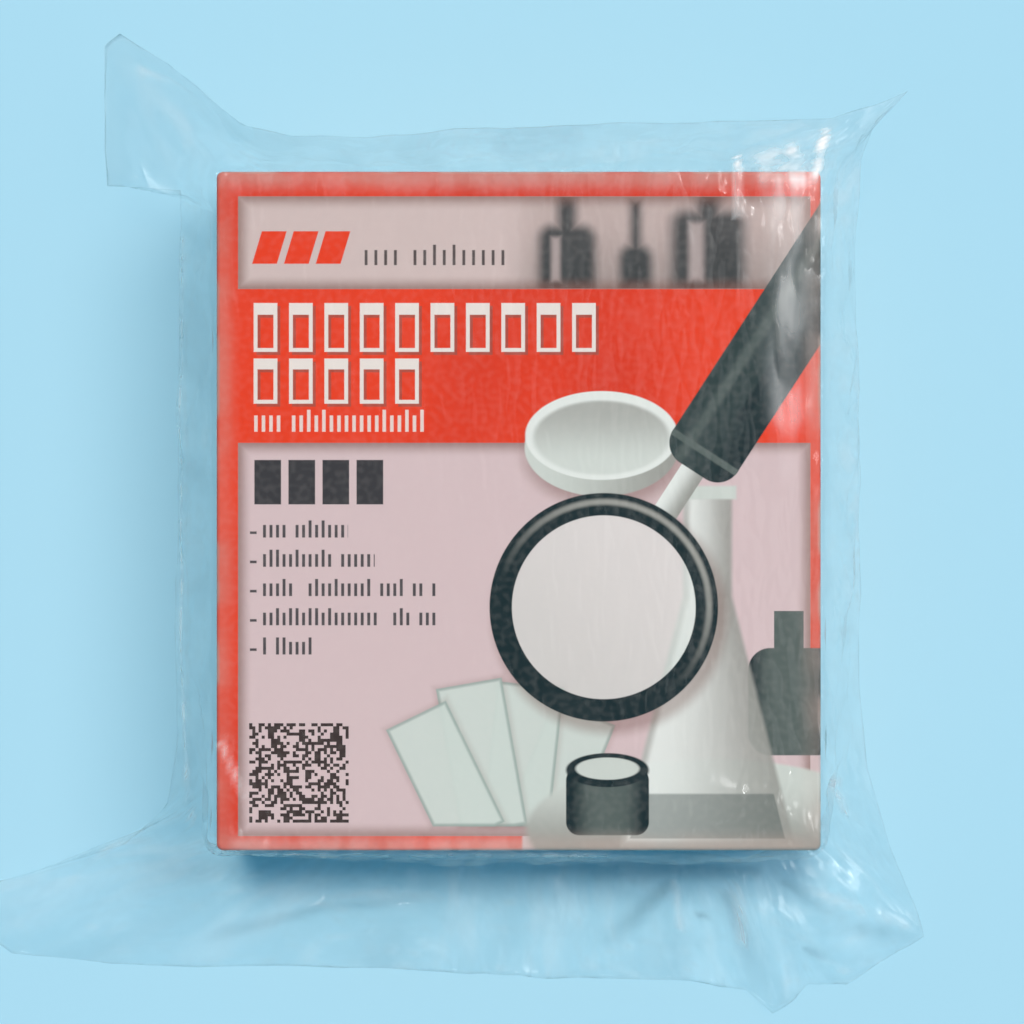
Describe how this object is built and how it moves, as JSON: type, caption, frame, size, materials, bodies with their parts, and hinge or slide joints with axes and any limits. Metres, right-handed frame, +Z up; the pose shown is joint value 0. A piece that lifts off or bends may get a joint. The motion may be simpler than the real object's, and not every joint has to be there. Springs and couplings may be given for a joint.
{
  "type": "boxed microscope slides",
  "caption": "Lidded board carton of ground-edge microscope slides, lying flat in a sealed clear film bag.",
  "frame": {"origin": "middle of the carton's footprint, on the surface that the bag lies on", "axes": "+Z up out of the printed face, +Y towards the head of the print, +X to the right of the print"},
  "size_m": [0.1362, 0.1396, 0.0285],
  "materials": {
    "clear_film": "clear, glossy and creased",
    "printed_board": "satin print on wrapped board",
    "plain_board": "matte, uncoated",
    "clear_glass": "clear, with ground edges"
  },
  "bodies": {
    "root": {"clear_bag": "clear_film", "carton_lid": "printed_board", "carton_tray": "plain_board", "slides_dozen_1": "clear_glass", "slides_dozen_2": "clear_glass", "slides_dozen_3": "clear_glass", "slides_dozen_4": "clear_glass", "slides_dozen_5": "clear_glass", "slides_dozen_6": "clear_glass"}
  },
  "joints": []
}
